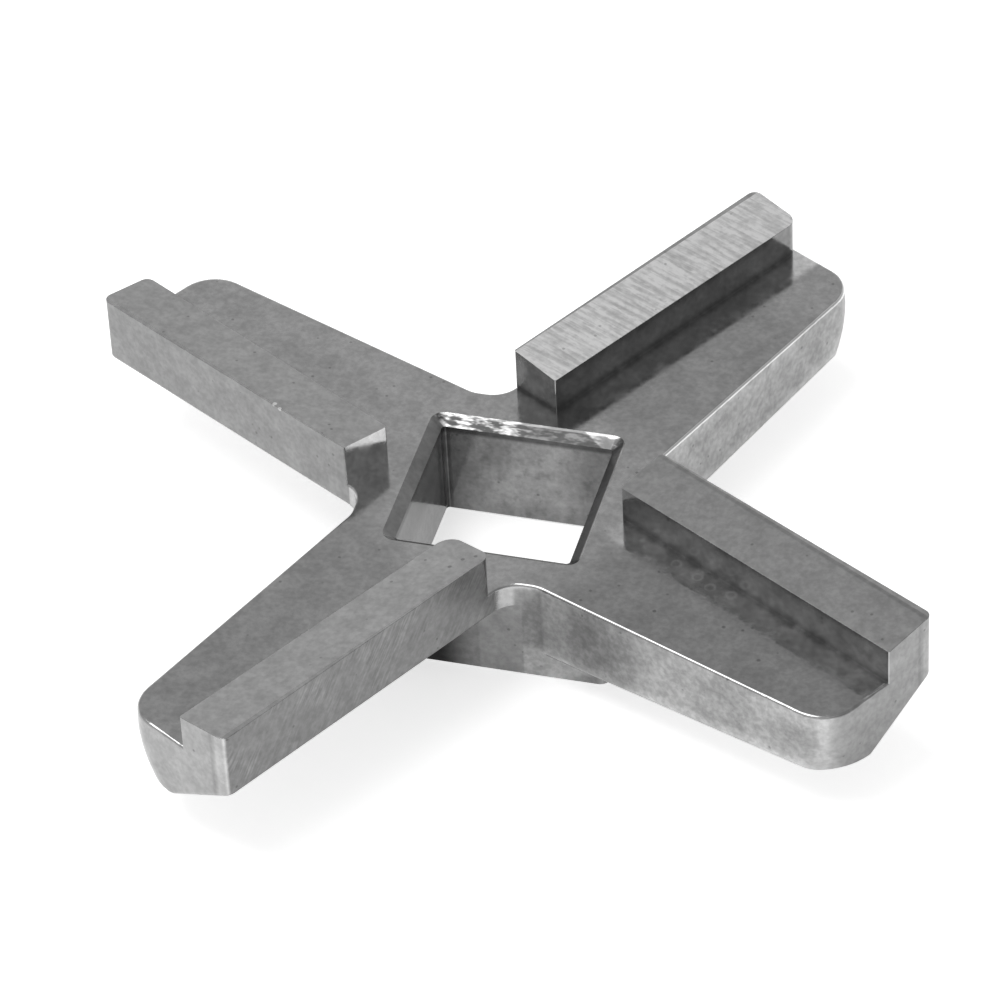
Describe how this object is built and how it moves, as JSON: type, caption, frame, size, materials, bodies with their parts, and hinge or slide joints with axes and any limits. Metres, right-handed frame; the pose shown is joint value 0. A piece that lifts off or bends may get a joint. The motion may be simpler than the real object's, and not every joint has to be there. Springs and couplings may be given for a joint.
{
  "type": "meat grinder knife",
  "caption": "Cross-shaped grinder knife with a square drive hole, raised cutting bars on the leading sides of its arms and a relieved underside.",
  "frame": {"origin": "on the axis of the square bore, on the foot of the hub", "axes": "+Z along the bore out of the cutting side; X and Y square to the walls of the bore"},
  "size_m": [0.0932, 0.0932, 0.0167],
  "materials": {
    "steel": "polished casting with ground cutting bars"
  },
  "bodies": {
    "root": {"grinder_knife": "steel"}
  },
  "joints": []
}
